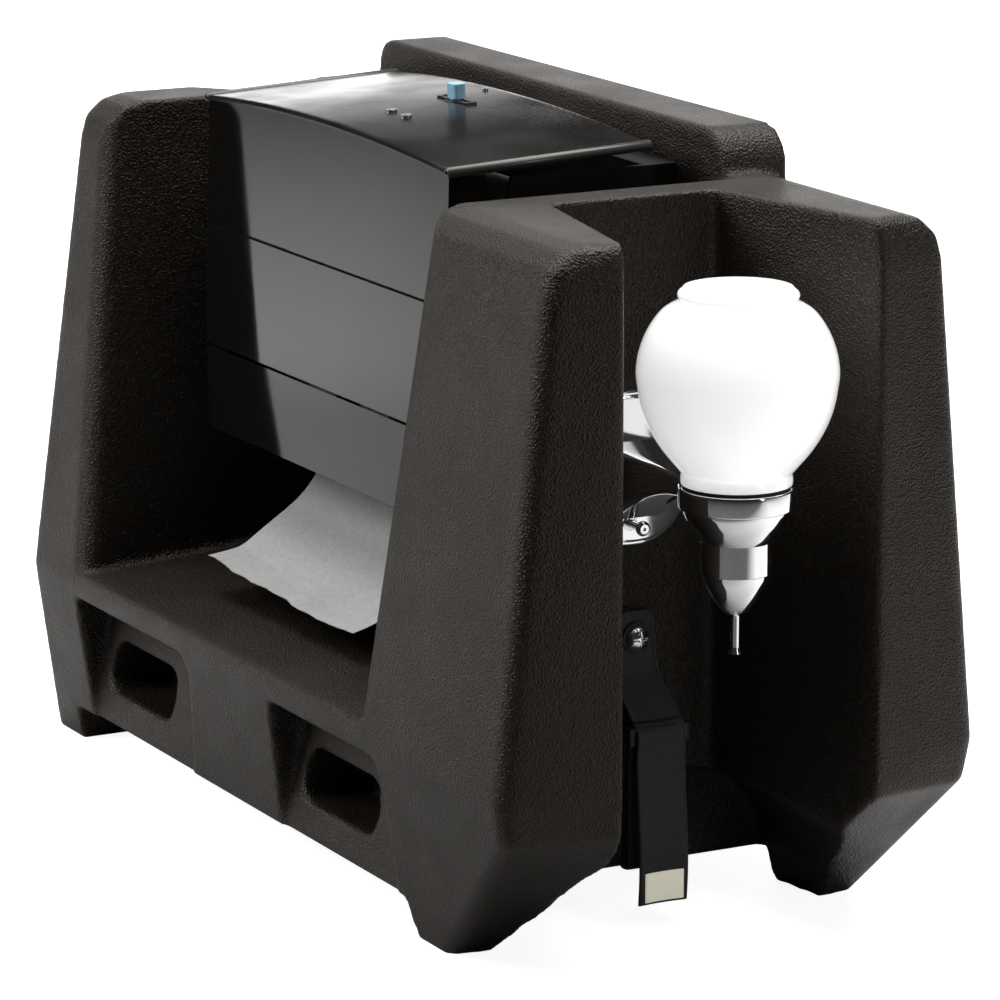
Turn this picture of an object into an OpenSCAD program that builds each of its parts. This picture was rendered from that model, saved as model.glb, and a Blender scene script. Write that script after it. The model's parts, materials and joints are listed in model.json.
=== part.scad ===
// Portable handwash station: a moulded hollow body that carries a towel dispenser in its
// front bay and a globe soap dispenser, with a tie-down strap, in its side bay.
// Millimetres, +Z up, X along the width with the soap bay at +X, towel side at -Y.
// The origin is on the floor, at the middle of the overall width and depth.

/* [Body] */
// Wall thickness of the moulded shell
wall_t = 5; // [4:0.5:6]
// Height of the towel bay shelf at its front edge; it rises towards the back
shelf_z = 123.5; // [120:0.5:128]
// Rise of the hump on the back wall above the towers
hump_h = 26; // [16:1:28]

/* [Towel dispenser] */
// Diameter of the paper roll
roll_d = 118; // [60:2:122]
// Width of the paper
paper_w = 203; // [180:1:208]
// Thickness of the cover and housing walls
skin = 3; // [2.5:0.5:3]

/* [Soap dispenser] */
// Largest diameter of the soap globe
globe_d = 114; // [106:1:116]
// Distance from the soap panel to the valve axis
reach = 119; // [112:1:122]
// Travel of the push-up plunger
plunger_travel = 8; // [5:1:9]

/* [Strap] */
// Width of the webbing
strap_w = 33; // [25:1:38]

/* [Hidden] */
$fn = 64;

// Body
tower_h = 428;
top_r = 26;
waist_z = 116;
waist_y = 157;
top_y = 126;
back_lean = 5;
base_gap = 22;
foot_out_y = 138;
panel_x = 253;
panel_z = 80;
back_y = 82;
recess_y = 139;
panel_lean = 0.17;
slot_deep = 46;
bay_left_top = -212;
bay_left_low = -195;
bay_right_top = 224;
bay_right_low = 198;
shelf_slope = 0.075;
far = 480;

// Towel dispenser
half_w = 166;
side_x = 160;
pivot_y = -72.5;
pivot_z = 280;
face_y = -79.5;
seam_z = 277;
lid_z = 434;
lid_front = -76.5;
lid_deep = 136;
lid_rise = 2.8;
dome_r = 1908;
dome_h = 9.5;
bead_d = 6;
roll_y = 12;
roll_z = 350;
core_d = 44;
hub_d = 38;
run_gap = 0.06;
feed_y = -8;
feed_z = 252;
feed_d = 30;
pinch_d = 20;
nip = 0.8;
pinch_y = feed_y - feed_d / 2 - nip - pinch_d / 2;
key_x = -3;
key_y = 19;

// Soap dispenser
axis_x = panel_x + reach;
ring_top = 281;
ring_low = 269;
ring_r = 33.2;
band_r = 20.4;

// Strap
strap_z = 167;

// The parts are laid out from a plane midway between the feet, then moved so that the overall
// width, from the left wall's foot to the front of the globe, is centred on the origin.
mid_x = (axis_x + globe_d / 2 - 288) / 2;

function arc(cx, cy, r, a0, a1, n) =
  [for (k = [0:n]) let (a = a0 + (a1 - a0) * k / n) [cx + r * cos(a), cy + r * sin(a)]];
function lift(points, z) = [for (p = points) [p[0], p[1], z]];
function rounded(w, h, r, n) = concat(
  arc(w / 2 - r, h / 2 - r, r, 0, 90, n), arc(r - w / 2, h / 2 - r, r, 90, 180, n),
  arc(r - w / 2, r - h / 2, r, 180, 270, n), arc(w / 2 - r, r - h / 2, r, 270, 360, n));
function front_y(z) = waist_y - (z - waist_z) * (waist_y - top_y) / (tower_h - top_r - waist_z);

// Solid through a stack of outlines with equal point counts, each listed anticlockwise from a
// point that all the others can be seen from.
module loft(rings) {
  n = len(rings[0]);
  m = len(rings);
  o = (m - 1) * n;
  low = [for (i = [1:n - 2]) [0, i, i + 1]];
  high = [for (i = [1:n - 2]) [o, o + i + 1, o + i]];
  side_a = [for (k = [0:m - 2]) for (i = [0:n - 1])
    [k * n + i, (k + 1) * n + i, (k + 1) * n + (i + 1) % n]];
  side_b = [for (k = [0:m - 2]) for (i = [0:n - 1])
    [k * n + i, (k + 1) * n + (i + 1) % n, k * n + (i + 1) % n]];
  polyhedron([for (r = rings) for (p = r) p], concat(low, side_a, side_b, high), convexity = 8);
}

// Bar of a Y-Z outline running along X.
module along_x(x0, x1) {
  translate([x0, 0, 0]) rotate([90, 0, 90]) linear_extrude(x1 - x0) children();
}

// Bar of an X-Z outline running along Y.
module along_y(y0, y1) {
  translate([0, y1, 0]) rotate([90, 0, 0]) linear_extrude(y1 - y0) children();
}

module rod_x(x0, x1, y, z, d) {
  translate([x0, y, z]) rotate([0, 90, 0]) cylinder(d = d, h = x1 - x0);
}

module ring_x(x0, x1, y, z, d_out, d_in) {
  translate([x0, y, z]) rotate([0, 90, 0]) difference() {
    cylinder(d = d_out, h = x1 - x0);
    translate([0, 0, -1]) cylinder(d = d_in, h = x1 - x0 + 2);
  }
}

module block(x0, x1, y0, y1, z0, z1) {
  translate([x0, y0, z0]) cube([x1 - x0, y1 - y0, z1 - z0]);
}

module place() {
  translate([-mid_x, 0, 0]) children();
}

module both_y() {
  children();
  mirror([0, 1, 0]) children();
}

// Horizontal outline of the body at one height, from y = -front to y = back; the soap face bows
// out between its corners.
function outline(x0, x1, front, back, r, bow, z, t) = lift(concat(
  arc(x0 + r, r - front, r - t, 180, 270, 4), arc(x1 - r, r - front, r - t, 270, 360, 4),
  [[x1 + bow - t, -74], [x1 + bow - t, 74]],
  arc(x1 - r, back - r, r - t, 0, 90, 4), arc(x0 + r, back - r, r - t, 90, 180, 4)), z);

function crown(a, t) = let (i = 6 * (1 - cos(a)), y = top_y - top_r + (top_r - t) * cos(a) + t)
  outline(-263 + i, 384 - i, y, y + back_lean, 11, 8, tower_h - top_r + (top_r - t) * sin(a), t);

module body_block(t) {
  loft([outline(-288, 286, foot_out_y, foot_out_y, 11, 4, t, t),
    outline(-283, 383, 153, 153, 11, 10, 92, t),
    outline(-281, 385, waist_y, waist_y, 11, 9, waist_z, t), crown(0, t), crown(30, t), crown(60, t),
    crown(90, t)]);
}

module hump(t) {
  along_y(back_y + t, 125 - t)
    polygon(concat([[219 - t, 400], [216 - t, tower_h - 1]],
      arc(192, tower_h + hump_h - 24, 24 - t, 0, 90, 6),
      arc(-222, tower_h + hump_h - 16, 16 - t, 90, 180, 6),
      [[-240 + t, tower_h], [-246 + t, 400]]));
}

// The g of each cut below moves its surface into the material by that much. The bay's front
// edges are rounded, more on the right (radius b) than on the left (radius a).
function bay_outline(xl, xr, f, a, b, g) = concat(
  [[(xl + xr) / 2, -f - 12], [xr + b + 12, -f - 12]],
  arc(xr + b, b - f, b - g, 270, 180, 5), [[xr + g, back_y + g], [xl - g, back_y + g]],
  arc(xl - a, a - f, a - g, 0, -90, 5), [[xl - a - 12, -f - 12]]);

function on_shelf(points, g) =
  [for (p = points) [p[0], p[1], shelf_z - g + (p[1] + waist_y) * shelf_slope]];

module towel_bay_cut(g) {
  top = bay_outline(bay_left_top, bay_right_top, front_y(tower_h) - 1.2, 12, 24, g);
  low = bay_outline(bay_left_low, bay_right_low, front_y(shelf_z) - 1.2, 12, 15, g);
  loft([on_shelf(low, g), lift(top, tower_h), lift(top, far)]);
}

module soap_bay_cut(g) {
  translate([0, 0, -1]) linear_extrude(far)
    polygon([[panel_x - g, -54 - g], [382, -79.8 - g], [450, -106 - g],
      [450, 106 + g], [382, 79.8 + g], [panel_x - g, 54 + g]]);
}

module left_recess_cut(g) {
  translate([0, 0, 100 - g]) linear_extrude(far)
    polygon([[g - 234, 26 + g], [-330, 103 + g], [-330, -103 - g], [g - 234, -26 - g]]);
}

module underside_cut(g) {
  along_y(-200, 200) polygon([[-241 - g, -1], [246 + g, -1], [236 + g, base_gap + g],
    [-241 - g, base_gap + g]]);
  block(-400, 450, -103 - g, 103 + g, -1, base_gap + g);
}

// Arched hollow through the foot of the soap panel, and the flared inner faces of its legs.
module arch_cut(g) {
  side = concat([[105 + g, -1], [101 + g, 8], [98 + g, 20]], arc(42, 28, 52 + g, 0, 90, 8));
  along_x(243 - g, 450) polygon(concat(side, [for (i = [len(side) - 1:-1:0]) [-side[i][0], side[i][1]]]));
  both_y() translate([panel_x - g, 54, 0]) rotate([0, 0, 7.4])
    along_x(0, 220) polygon([[-50, -1], [52 + 1.25 * g, -1], [0.6 * g, 82 + 0.8 * g], [-50, 82 + 0.8 * g]]);
}

// Two panels sunk into each long side; their back face leans in towards the top.
module hand_panels(g) {
  both_y() intersection() {
    along_y(-220, -100) {
      polygon(concat([[-213 - g, base_gap - 9], [-62 + g, base_gap - 9]],
        arc(-54, 91, 14 + g, 0, 90, 5), [[-210 - g, 105 + g]]));
      polygon(concat([[71 - g, base_gap - 9], [227 + g, base_gap - 9]],
        arc(214, 91, 14 + g, 0, 90, 5), [[81 - g, 105 + g]]));
    }
    along_x(-300, 300) polygon([[-230, 0], [g - recess_y - 5, 0],
      [g - recess_y - 5 + 130 * panel_lean, 130], [-230, 130]]);
  }
}

module finger_slots(g) {
  both_y() for (x = [-152, 137])
    translate([x, 0, 60.5]) along_y(g - 1 - recess_y, slot_deep + g - recess_y)
      polygon(rounded(98 + 2 * g, 33 + 2 * g, 13 + g, 5));
}

module body_cuts(g) {
  towel_bay_cut(g);
  soap_bay_cut(g);
  left_recess_cut(g);
  underside_cut(g);
  arch_cut(g);
  hand_panels(g);
  finger_slots(g);
}

// Screw places, shared by the body and the things screwed to it.
housing_spots = [for (x = [-120, 120]) for (z = [262, 396]) [x, z]];
plate_spots = [for (y = [-26, 26]) [y, 268]];

module body_shell() {
  color([0.07, 0.065, 0.06]) difference() {
    union() {
      difference() {
        body_block(0);
        body_cuts(0);
      }
      hump(0);
    }
    difference() {
      union() {
        body_block(wall_t);
        hump(wall_t);
      }
      body_cuts(wall_t);
    }
    for (s = housing_spots)
      translate([s[0], back_y - 1, s[1]]) rotate([-90, 0, 0]) cylinder(d = 9, h = wall_t + 2);
    for (s = plate_spots) rod_x(panel_x - wall_t - 1, panel_x + 1, s[0], s[1], 9);
    rod_x(panel_x - wall_t - 1, panel_x + 1, 0, strap_z, 9);
  }
}

// Flanged insert clamped in the shell wall, its thread bore left open.
module insert(len) {
  difference() {
    union() {
      cylinder(d = 9, h = len);
      translate([0, 0, wall_t]) cylinder(d = 13, h = 2);
    }
    translate([0, 0, -1]) cylinder(d = 5, h = len + 2);
  }
}

module strap_insert() {
  color([0.75, 0.6, 0.3]) translate([panel_x, 0, strap_z]) rotate([0, -90, 0]) insert(13);
}

module wall_anchor_nuts() {
  color([0.75, 0.6, 0.3]) {
    for (s = plate_spots) translate([panel_x, s[0], s[1]]) rotate([0, -90, 0]) insert(12);
    for (s = housing_spots) translate([s[0], back_y, s[1]]) rotate([-90, 0, 0]) insert(13);
  }
}

module pan_screw(head_d, head_h, grip, len) {
  difference() {
    union() {
      cylinder(d1 = head_d * 0.62, d2 = head_d, h = head_h * 0.6);
      translate([0, 0, head_h * 0.6]) cylinder(d = head_d, h = head_h * 0.4);
    }
    translate([0, 0, -1]) cylinder(d = 2.4, h = head_h * 0.5 + 1, $fn = 6);
  }
  translate([0, 0, head_h]) cylinder(d = 4.9, h = grip + len);
}

// Housing: back plate, two side cheeks, a floor and a top rail, open at the front.
module housing() {
  floor_z = 224;
  color([0.16, 0.16, 0.17]) difference() {
    union() {
      block(-side_x, side_x, back_y - skin, back_y, floor_z, 428);
      for (s = [-1, 1]) translate([s * (side_x - skin / 2), 0, 0]) along_x(-skin / 2, skin / 2)
        polygon([[back_y - 1, floor_z], [back_y - 1, 428], [-30, 428], [-66, 300],
          [-71, 283], [-71, 277], [-66.5, 273], [-72, 262], [-72, 226], [-60, floor_z]]);
      block(-side_x, side_x, 4, back_y, floor_z, floor_z + skin);
      block(-side_x, side_x, 60, back_y, 428 - skin, 428);
      for (s = [-1, 1]) translate([s * (side_x - skin / 2), 0, 0])
        ring_x(-skin / 2, skin / 2, pivot_y, pivot_z, 7, 4);
    }
    for (s = housing_spots)
      translate([s[0], back_y - skin - 1, s[1]]) rotate([-90, 0, 0]) cylinder(d = 5.4, h = skin + 2);
    rod_x(-side_x - 1, side_x + 1, feed_y, feed_z, 8 + 2 * run_gap);
    rod_x(-side_x - 1, side_x + 1, pinch_y, feed_z, 6 + 2 * run_gap);
    rod_x(-side_x - 1, side_x + 1, pivot_y, pivot_z, 4);
  }
}

module housing_screws() {
  color([0.75, 0.76, 0.78]) for (s = housing_spots)
    translate([s[0], back_y - skin - 3, s[1]]) rotate([-90, 0, 0]) pan_screw(9, 3, skin, 10);
}

// Fixed lower front, bevelled along its top edge so the cover's edge can swing past it.
module apron() {
  color([0.17, 0.17, 0.18]) {
    along_x(-half_w, half_w) polygon([[-78, 221], [-79, 275], [-76, 272], [-75, 224],
      [-40, 224], [-40, 221]]);
    for (s = [-1, 1]) translate([s * (half_w - 1.5), 0, 0]) along_x(-1.5, 1.5)
      polygon([[-76, 223.5], [-77, 266], [-50, 250], [-50, 223.5]]);
    for (s = [-1, 1]) block(s * 161.5 - 1.5, s * 161.5 + 1.5, -60, -52, 226, 240);
  }
}

module tear_bar() {
  teeth = [for (k = [0:41]) [-105 + k * 5, k % 2 == 0 ? 214 : 217.5]];
  color([0.75, 0.76, 0.78]) along_y(-40, -39)
    polygon(concat(teeth, [[105, 217.5], [105, 232], [-105, 232]]));
}

module latch_keeper() {
  color([0.7, 0.71, 0.73]) {
    block(key_x - 14, key_x + 14, 29, back_y, 433, 435);
    block(key_x - 14, key_x + 14, 62, back_y, 428, 433);
  }
}

module hinge_pins() {
  color([0.75, 0.76, 0.78]) for (s = [-1, 1])
    rod_x(s * 161.5 - 4.5, s * 161.5 + 4.5, pivot_y, pivot_z, 4);
}

module roll_arm() {
  block(0, 4, 5, back_y - skin, roll_z - 18, roll_z + 18);
  rod_x(0, 4, 8, roll_z, 36);
  block(0, 20, back_y - skin - 4, back_y - skin, roll_z - 18, roll_z + 18);
  rod_x(-12, 0, roll_y, roll_z, hub_d - 2 * run_gap);
}

module roll_arm_right() {
  color([0.82, 0.82, 0.8]) translate([paper_w / 2 + 1.5, 0, 0]) roll_arm();
}

module roll_arm_left() {
  color([0.82, 0.82, 0.8]) mirror([1, 0, 0]) translate([paper_w / 2 + 1.5, 0, 0]) roll_arm();
}

module roll_core() {
  color([0.62, 0.5, 0.36]) ring_x(-paper_w / 2, paper_w / 2, roll_y, roll_z, core_d, hub_d);
}

module paper_roll() {
  color([0.95, 0.95, 0.93]) ring_x(-paper_w / 2, paper_w / 2, roll_y, roll_z, roll_d, core_d);
}

module feed_shaft() {
  color([0.75, 0.76, 0.78]) rod_x(-side_x - 1, side_x + 1, feed_y, feed_z, 8);
}

module feed_roller() {
  color([0.12, 0.12, 0.12]) ring_x(-108, 108, feed_y, feed_z, feed_d, 8);
}

module pinch_shaft() {
  color([0.75, 0.76, 0.78]) rod_x(-side_x - 1, side_x + 1, pinch_y, feed_z, 6);
}

module pinch_roller() {
  color([0.8, 0.8, 0.78]) for (x = [-72, 0, 72]) ring_x(x - 20, x + 20, pinch_y, feed_z, pinch_d, 6);
}

// Hanging sheet: runs down from the nip, then forward on to the shelf.
sheet_path = [[-23.4, 240], [-23.4, 222], [-26, 206], [-33, 192], [-45, 178], [-60, 164],
  [-76, 152], [-92, 144.5], [-105, 142]];
module paper_sheet() {
  n = len(sheet_path);
  ahead = [for (i = [0:n - 1]) sheet_path[min(i + 1, n - 1)] - sheet_path[max(i - 1, 0)]];
  front = [for (i = [n - 1:-1:0]) sheet_path[i] + 0.5 * [ahead[i][1], -ahead[i][0]] / norm(ahead[i])];
  color([0.95, 0.95, 0.93]) along_x(-paper_w / 2, paper_w / 2) polygon(concat(sheet_path, front));
}

module front_cover() {
  groove = 354;
  lean = 5 / (lid_z - seam_z);
  top = face_y + 5;
  mid = face_y + lean * (groove - seam_z);
  rim_z = lid_z + 8;
  color([0.17, 0.17, 0.18]) difference() {
    union() {
      intersection() {
        along_x(-half_w, half_w) polygon([[face_y, seam_z], [mid - 0.05, groove - 0.8], [mid + 0.9, groove],
          [mid + 0.05, groove + 0.8], [top, rim_z], [top + skin, rim_z], [face_y + skin, seam_z]]);
        at_dome() cylinder(r = dome_r - skin - 0.05, h = 150, $fn = 240);
      }
      for (s = [-1, 1]) translate([s * (half_w - skin / 2), 0, 0]) along_x(-skin / 2, skin / 2)
        polygon([[face_y + 1, seam_z], [top + 1, lid_z - 3], [-50, lid_z - 3], [-62, 300],
          [-66, seam_z]]);
      for (s = [-1, 1])
        block(s * (half_w - 6) - 6, s * (half_w - 6) + 6, top + 2, top + 12, lid_z - 13, lid_z - 3);
    }
    rod_x(-half_w - 1, half_w + 1, pivot_y, pivot_z, 4 + 2 * run_gap);
    for (s = [-1, 1]) at_bead(s, lid_deep + 2) cylinder(d = bead_d + 0.1, h = lid_deep + 4);
  }
}

// The lid's own frame: its front edge, tilted up towards the back.
module at_lid() {
  translate([0, lid_front, lid_z]) rotate([lid_rise, 0, 0]) children();
}

// Axis of the lid's dome, from the back forwards.
module at_dome() {
  at_lid() translate([0, lid_deep, dome_h - dome_r]) rotate([90, 0, 0]) children();
}

// Axis of the bead on one side, from the given depth forwards.
module at_bead(side, depth) {
  at_lid() translate([side * 167, depth, 0.5]) rotate([90, 0, 0]) children();
}

// Domed lid with a rounded bead along each side.
module cover_lid() {
  color([0.12, 0.12, 0.13]) difference() {
    union() {
      intersection() {
        at_dome() difference() {
          cylinder(r = dome_r, h = lid_deep, $fn = 240);
          translate([0, 0, -1]) cylinder(r = dome_r - skin, h = lid_deep + 2, $fn = 240);
        }
        at_lid() block(-168, 168, -1, lid_deep + 1, -9, 12);
      }
      for (s = [-1, 1]) at_bead(s, lid_deep) cylinder(d = bead_d, h = lid_deep);
      at_lid() block(-160, 160, 5.4, 9, 0, 5);
    }
    for (s = [-1, 1]) at_bead(s, 6) cylinder(d = 2.4, h = 7);
    at_lid() translate([key_x, key_y - lid_front, -5]) cylinder(d = 16, h = 20);
  }
}

module on_lid(x, y) {
  at_lid() translate([x, y - lid_front, dome_h - dome_r + sqrt(dome_r * dome_r - x * x)]) children();
}

module lid_rivets() {
  color([0.75, 0.76, 0.78]) {
    for (s = [[4, -30, 7], [26, -31, 7], [-24, 50, 3.5]])
      on_lid(s[0], s[1]) rotate([0, asin(s[0] / dome_r), 0]) cylinder(d = s[2], h = 1.2);
  }
}

module lock_barrel() {
  color([0.1, 0.1, 0.11]) on_lid(key_x, key_y) difference() {
    union() {
      translate([0, 0, -14]) cylinder(d = 15.9, h = 14.4);
      translate([0, 0, -skin - 2.2]) cylinder(d = 22, h = 2);
      translate([0, 0, -0.2]) difference() {
        block(-19, 19, -4, 4, 0.3, 1.2);
        block(-17, 17, -1.5, 1.5, 0, 2);
      }
    }
    translate([0, 0, -15]) cylinder(d = 8 + 2 * run_gap, h = 20);
  }
}

module lock_key() {
  color([0.55, 0.7, 0.82]) on_lid(key_x, key_y) {
    translate([0, 0, 1.6]) linear_extrude(9) polygon(rounded(12, 8.4, 2.5, 5));
    translate([0, 0, -16]) cylinder(d = 8, h = 17.7);
  }
}

module lock_cam() {
  color([0.7, 0.71, 0.73]) on_lid(key_x, key_y) translate([0, 0, -18.5]) {
    cylinder(d = 13, h = 2.5);
    block(0, 17, -4.5, 4.5, 0, 2.5);
  }
}

module wall_plate() {
  color([0.85, 0.86, 0.88]) difference() {
    union() {
      translate([panel_x, 0, 268]) along_x(0, 2.5) polygon(rounded(72, 92, 33, 12));
      translate([panel_x, 0, 268]) along_x(2.5, 5) polygon(rounded(66, 86, 30, 12));
    }
    for (s = plate_spots) rod_x(panel_x - 1, panel_x + 9, s[0], s[1], 5.4);
  }
}

module plate_screws() {
  color([0.85, 0.86, 0.88]) for (s = plate_spots)
    translate([panel_x + 8, s[0], s[1]]) rotate([0, -90, 0]) pan_screw(9, 3, 5, 10);
}

// Tapered arm from the wall plate to the collar that grips the globe's neck.
module soap_bracket() {
  color([0.85, 0.86, 0.88]) difference() {
    union() {
      hull() {
        translate([panel_x + 5, 0, 262]) along_x(0, 2) polygon(rounded(42, 44, 14, 8));
        translate([axis_x - 31, 0, 275]) along_x(0, 2) polygon(rounded(34, 12, 3, 8));
      }
      translate([axis_x, 0, ring_low]) cylinder(r = ring_r, h = ring_top - ring_low);
      translate([panel_x + 5, 0, 236]) along_x(0, 7) polygon(rounded(20, 18, 6, 8));
    }
    translate([axis_x, 0, ring_low - 20]) cylinder(r = 30.8, h = 60);
    rod_x(panel_x + 4, panel_x + 20, 0, 234, 5.2);
  }
}

module bracket_lock() {
  color([0.85, 0.86, 0.88]) translate([panel_x + 15, 0, 234]) rotate([0, -90, 0]) pan_screw(9, 3, 2, 4.8);
}

// Opal globe: lower collar, teardrop bulge and a beaded mouth, open at both ends.
globe_side = [[29.5, 283], [33, 283], [33, 286.5], [31.6, 289], [37, 294.5], [44.3, 303], [50, 312.5],
  [54.5, 323], [57.3, 334], [58.5, 346], [58, 354], [56.2, 362], [52.6, 370], [47.4, 377.5], [40.5, 384],
  [33.4, 388.3]];
module globe() {
  k = globe_d / 117;
  color([0.97, 0.97, 0.96]) translate([axis_x, 0, 0]) rotate_extrude($fn = 96) difference() {
    polygon(concat([for (p = globe_side) [p[0] > 34 ? p[0] * k : p[0], p[1]]],
      arc(31.4, 390.4, 2.9, -20, 90, 5), [[27, 393.3], [27, 387]],
      [for (i = [len(globe_side) - 2:-1:4]) [(globe_side[i][0] - 3.2) * k, globe_side[i][1]]], [[28, 290]]));
  }
}

module globe_gasket() {
  color([0.1, 0.1, 0.1]) translate([axis_x, 0, 281]) difference() {
    cylinder(r = 30.7, h = 2);
    translate([0, 0, -1]) cylinder(r = 24, h = 4);
  }
}

module filler_cap() {
  color([0.97, 0.97, 0.96]) translate([axis_x, 0, 0]) difference() {
    union() {
      translate([0, 0, 387.5]) cylinder(r = 26.7, h = 6);
      translate([0, 0, 393.4]) cylinder(r = 31, h = 1.4);
    }
    translate([0, 0, 386]) cylinder(r = 24, h = 5.5);
  }
}

// Valve body: threaded collar inside the ring, cone, straight band and bullet nose.
module valve_body() {
  color([0.85, 0.86, 0.88]) translate([axis_x, 0, 0]) difference() {
    rotate_extrude($fn = 96) polygon([[0, 206], [3.6, 206], [7, 209], [11.5, 214], [15.5, 220],
      [18.6, 226.5], [20, 231.4], [band_r, 231.6], [band_r, 250], [21.6, 250.6], [30.2, 266], [30.6, 268],
      [30.6, 281], [24, 281], [24, 272], [16, 256], [12, 252], [0, 252]]);
    translate([0, 0, 200]) cylinder(d = 5 + 2 * run_gap, h = 60);
    translate([0, 0, 216]) cylinder(d = 15, h = 60);
  }
}

module valve_seal() {
  color([0.12, 0.12, 0.12]) translate([axis_x, 0, 252.3]) difference() {
    cylinder(d = 20, h = 2.4);
    translate([0, 0, -1]) cylinder(d = 5 + 2 * run_gap, h = 5);
  }
}

module valve_spring() {
  coil = 1.4;
  color([0.75, 0.76, 0.78]) translate([axis_x, 0, 219.6]) difference() {
    cylinder(d = 12, h = 32.6);
    translate([0, 0, -1]) cylinder(d = 12 - 2 * coil, h = 35);
  }
}

module plunger() {
  tip = 206 - plunger_travel - 14;
  color([0.85, 0.86, 0.88]) translate([axis_x, 0, 0]) {
    translate([0, 0, tip + 4]) cylinder(d = 5, h = 254 - tip);
    translate([0, 0, tip]) cylinder(d1 = 8, d2 = 5, h = 4);
    translate([0, 0, 218]) cylinder(d = 14, h = 1.5);
    translate([0, 0, 254.8]) cylinder(d = 14, h = 3.2);
  }
}

module strap_screw() {
  color([0.85, 0.86, 0.88]) translate([panel_x + 13, 0, strap_z]) rotate([0, -90, 0]) pan_screw(15, 6, 7, 12);
}

module strap_washer() {
  color([0.85, 0.86, 0.88]) ring_x(panel_x + 5.5, panel_x + 7, 0, strap_z, 19, 5.4);
}

// Stiff nylon tab on the screw, leaning out to the bar that carries the webbing.
module strap_tab() {
  color([0.04, 0.04, 0.045]) difference() {
    translate([0, -strap_w / 2, 0]) along_y(0, strap_w)
      polygon([[panel_x + 1, 183], [panel_x + 1, 152], [panel_x + 8, 140], [panel_x + 29, 121],
        [panel_x + 32.5, 124.5], [panel_x + 12, 143], [panel_x + 5.5, 154], [panel_x + 5.5, 183]]);
    rod_x(panel_x - 1, panel_x + 9, 0, strap_z, 4.9 + 2 * run_gap);
  }
}

module strap_bar() {
  color([0.06, 0.06, 0.065]) difference() {
    block(panel_x + 27, panel_x + 35, -strap_w / 2 - 4, strap_w / 2 + 4, 110, 120.5);
    block(panel_x + 29.5, panel_x + 32.5, -strap_w / 2 - 0.5, strap_w / 2 + 0.5, 109, 118);
  }
}

module strap_webbing() {
  color([0.04, 0.04, 0.045]) translate([0, -strap_w / 2, 0]) along_y(0, strap_w)
    polygon([[panel_x + 30, 117.5], [panel_x + 30, 107], [panel_x + 37, 60], [panel_x + 40, 38],
      [panel_x + 41.5, 38], [panel_x + 39, 61], [panel_x + 32, 107], [panel_x + 32, 117.5]]);
}

module strap_return() {
  color([0.04, 0.04, 0.045]) translate([0, -strap_w / 2, 0]) along_y(0, strap_w) difference() {
    polygon(concat([[panel_x + 21, 112]], arc(panel_x + 20, 38, 7, 180, 360, 8), [[panel_x + 26, 112]]));
    polygon(concat([[panel_x + 22.6, 113]], arc(panel_x + 20, 38, 5.4, 180, 360, 8),
      [[panel_x + 24.4, 113]]));
  }
}

module strap_label() {
  color([0.88, 0.86, 0.76]) translate([panel_x + 40.2, -strap_w / 2 + 1, 14]) cube([0.9, strap_w - 2, 23.6]);
}

place() body_shell();
place() strap_insert();
place() wall_anchor_nuts();
place() housing();
place() apron();
place() housing_screws();
place() tear_bar();
place() latch_keeper();
place() hinge_pins();
place() roll_arm_left();
place() roll_arm_right();
place() roll_core();
place() paper_roll();
place() feed_shaft();
place() feed_roller();
place() pinch_shaft();
place() pinch_roller();
place() paper_sheet();
place() front_cover();
place() cover_lid();
place() lid_rivets();
place() lock_barrel();
place() lock_key();
place() lock_cam();
place() wall_plate();
place() plate_screws();
place() soap_bracket();
place() bracket_lock();
place() globe();
place() globe_gasket();
place() filler_cap();
place() valve_body();
place() valve_seal();
place() valve_spring();
place() plunger();
place() strap_screw();
place() strap_washer();
place() strap_tab();
place() strap_bar();
place() strap_webbing();
place() strap_return();
place() strap_label();
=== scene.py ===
"""Looks of the portable handwash station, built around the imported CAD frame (metres, +Z up)."""

import json
from math import cos, exp, pi, radians, sin, sqrt

import bmesh
import bpy
from mathutils import Matrix, Vector, noise

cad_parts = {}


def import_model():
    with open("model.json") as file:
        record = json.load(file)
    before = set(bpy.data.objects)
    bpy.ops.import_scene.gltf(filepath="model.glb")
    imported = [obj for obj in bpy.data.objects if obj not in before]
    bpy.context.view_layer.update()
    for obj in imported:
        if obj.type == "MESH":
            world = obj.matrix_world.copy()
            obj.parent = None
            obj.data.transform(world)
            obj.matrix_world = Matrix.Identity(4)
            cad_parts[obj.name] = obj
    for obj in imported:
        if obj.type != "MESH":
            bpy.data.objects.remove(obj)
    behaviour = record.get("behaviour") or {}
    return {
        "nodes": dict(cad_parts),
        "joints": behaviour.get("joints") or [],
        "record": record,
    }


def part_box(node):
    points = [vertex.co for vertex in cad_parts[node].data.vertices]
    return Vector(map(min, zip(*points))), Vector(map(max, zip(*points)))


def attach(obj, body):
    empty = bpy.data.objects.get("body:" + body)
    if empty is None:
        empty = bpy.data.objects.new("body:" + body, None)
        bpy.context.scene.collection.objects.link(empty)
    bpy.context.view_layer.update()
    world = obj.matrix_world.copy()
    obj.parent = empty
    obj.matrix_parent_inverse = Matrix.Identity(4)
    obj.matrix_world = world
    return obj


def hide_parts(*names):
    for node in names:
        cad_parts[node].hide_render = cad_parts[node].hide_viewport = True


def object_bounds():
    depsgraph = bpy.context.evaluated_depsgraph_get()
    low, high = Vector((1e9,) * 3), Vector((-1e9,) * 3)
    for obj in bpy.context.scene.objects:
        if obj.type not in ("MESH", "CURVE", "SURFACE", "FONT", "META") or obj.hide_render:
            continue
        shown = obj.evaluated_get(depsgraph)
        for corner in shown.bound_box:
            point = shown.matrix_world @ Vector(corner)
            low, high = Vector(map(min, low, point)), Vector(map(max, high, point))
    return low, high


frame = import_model()
cad_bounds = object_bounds()
NODES = frame["nodes"]
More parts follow.
